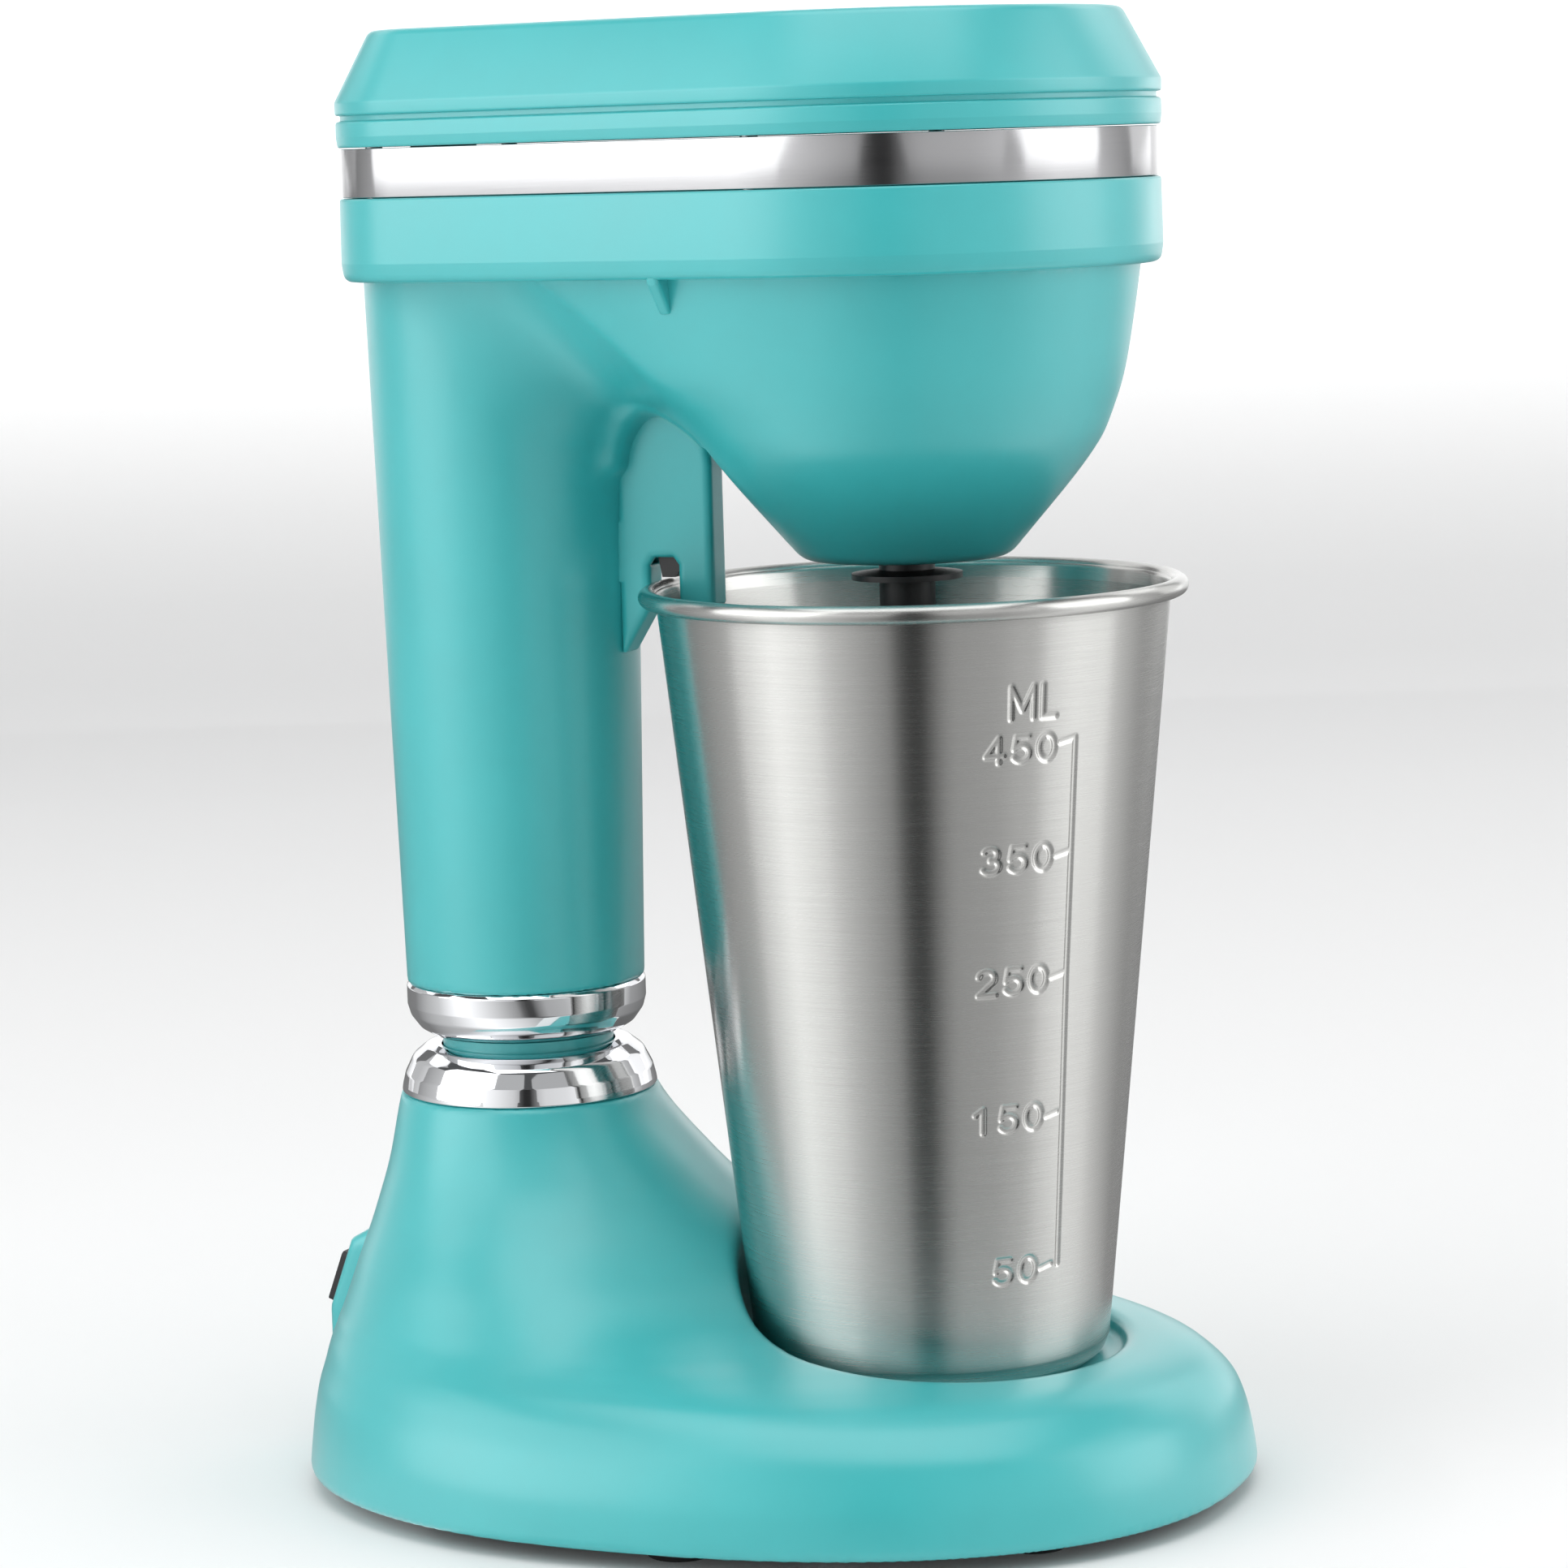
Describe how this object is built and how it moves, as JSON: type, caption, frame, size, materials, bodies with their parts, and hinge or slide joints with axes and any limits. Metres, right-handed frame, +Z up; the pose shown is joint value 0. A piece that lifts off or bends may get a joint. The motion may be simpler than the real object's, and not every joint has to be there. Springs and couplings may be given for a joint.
{
  "type": "milkshake mixer",
  "caption": "Counter-top milkshake mixer: a rounded base and round column carry a motor head with a steel band, whose spindle turns a long agitator in a tapered steel cup",
  "frame": {"origin": "on the table, under the middle of the object's outline", "axes": "+X towards the cup, +Y to the object's left, +Z up"},
  "size_m": [0.1742, 0.1358, 0.2595],
  "materials": {
    "housing_plastic": "gloss",
    "chrome": "polished",
    "brushed_steel": "brushed",
    "cup_steel": "satin",
    "black_plastic": "satin",
    "screw_steel": "satin",
    "rubber": "matte",
    "holder_plastic": "gloss",
    "bracket_metal": "satin",
    "lamination": "matte",
    "copper": "satin",
    "brass": "satin",
    "carbon": "matte",
    "board": "satin",
    "wire_sleeve": "matte",
    "fan_plastic": "matte"
  },
  "bodies": {
    "stand": {"base_shell": "housing_plastic", "base_plate": "black_plastic", "base_screws": "screw_steel", "rubber_feet": "rubber", "lower_collar": "chrome", "upper_collar": "chrome", "column_screws": "screw_steel", "arm_housing": "housing_plastic", "trim_band": "brushed_steel", "top_cover": "housing_plastic", "cover_screws": "screw_steel", "cup_holder": "holder_plastic", "holder_screws": "screw_steel", "lever_pin": "screw_steel", "lever_spring": "screw_steel", "switch_bracket": "bracket_metal", "microswitch": "black_plastic", "microswitch_screws": "screw_steel", "switch_housing": "black_plastic", "switch_terminals": "brass", "cord_gland": "black_plastic", "wiring_loom": "wire_sleeve", "motor_stator": "lamination", "field_coils": "copper", "lower_bracket": "bracket_metal", "upper_bracket": "bracket_metal", "lower_bearing": "brass", "upper_bearing": "brass", "motor_bolts": "screw_steel", "mount_screws": "screw_steel", "mount_dampers": "rubber", "brush_holders": "brass", "carbon_brushes": "carbon", "brush_springs": "screw_steel", "control_board": "board", "capacitor": "fan_plastic", "speed_diode": "black_plastic", "board_screws": "screw_steel"},
    "rotor": {"motor_shaft": "screw_steel", "armature_core": "lamination", "armature_winding": "copper", "commutator": "copper", "cooling_fan": "fan_plastic"},
    "agitator": {"agitator_hub": "black_plastic", "agitator_shaft": "screw_steel", "agitator_disc": "screw_steel"},
    "cup": {"cup": "cup_steel"},
    "lever": {"cup_lever": "black_plastic"},
    "plunger": {"switch_plunger": "black_plastic"},
    "rocker": {"switch_rocker": "black_plastic"}
  },
  "joints": [
    {"name": "spindle_spin", "type": "hinge", "parent": "stand", "child": "rotor", "pos_m": [0.029, 0, 0.2], "axis": [0, 0, 1], "continuous": true},
    {"name": "agitator_pull", "type": "slide", "parent": "rotor", "child": "agitator", "axis": [0, 0, -1], "range_m": [0, 0.0145]},
    {"name": "cup_swing", "type": "hinge", "parent": "stand", "child": "cup", "pos_m": [-0.0164, 0, 0.16], "axis": [0, -1, 0], "range_deg": [0, 8]},
    {"name": "cup_lever", "type": "hinge", "parent": "stand", "child": "lever", "pos_m": [-0.044, 0, 0.168], "axis": [0, -1, 0], "range_deg": [0, 6], "stiffness_Nm_per_rad": 0.05, "springref_deg": -5.73, "deforming": ["lever_spring"]},
    {"name": "switch_plunger", "type": "slide", "parent": "stand", "child": "plunger", "axis": [0, 0, 1], "range_m": [0, 0.0012]},
    {"name": "switch_rocker", "type": "hinge", "parent": "stand", "child": "rocker", "pos_m": [-0.08226, 0, 0.03062], "axis": [0.3518, 0, 0.9361], "range_deg": [-10, 10]}
  ],
  "couplings": [
    {"joint": "switch_plunger", "follows": "cup_lever", "m_per_rad": 0.01}
  ]
}
